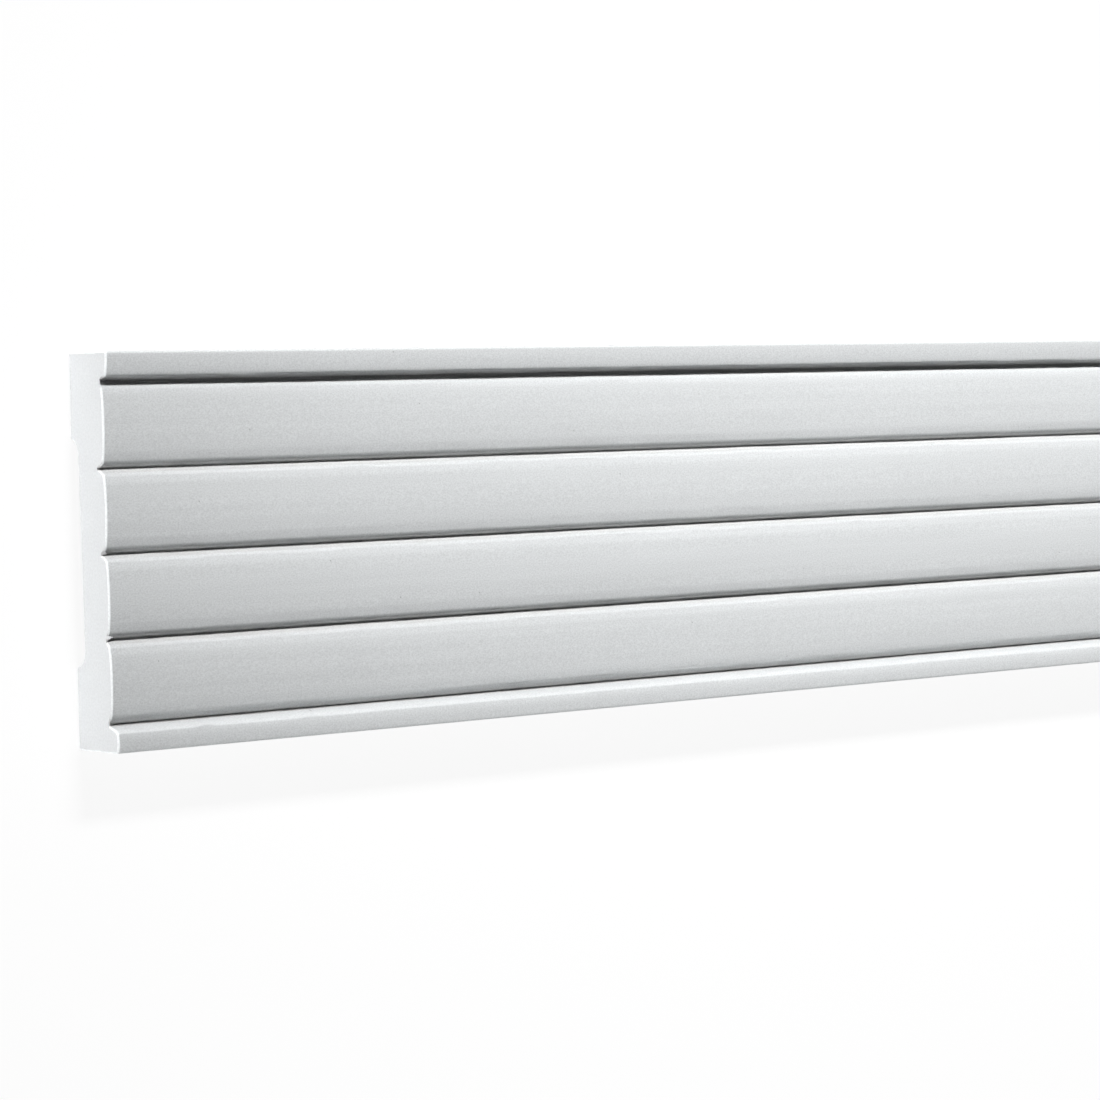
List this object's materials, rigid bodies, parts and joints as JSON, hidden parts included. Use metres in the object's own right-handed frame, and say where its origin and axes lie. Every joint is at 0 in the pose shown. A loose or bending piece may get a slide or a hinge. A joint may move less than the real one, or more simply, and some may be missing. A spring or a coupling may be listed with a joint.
{
  "type": "polyurethane moulding",
  "caption": "Straight length of wide wall moulding with crowned horizontal ribs between a top rail and a projecting bottom lip, and a hollowed back.",
  "frame": {"origin": "on the plane of the two back lands, in the middle of the length and of the width", "axes": "+X along the length, +Y up the face as it is fixed on a wall (from the lip to the top rail), +Z out of the wall"},
  "size_m": [2, 0.15, 0.0266],
  "materials": {
    "primed_polyurethane": "smooth white primer, with a slight sheen"
  },
  "bodies": {
    "root": {"moulding": "primed_polyurethane"}
  },
  "joints": []
}
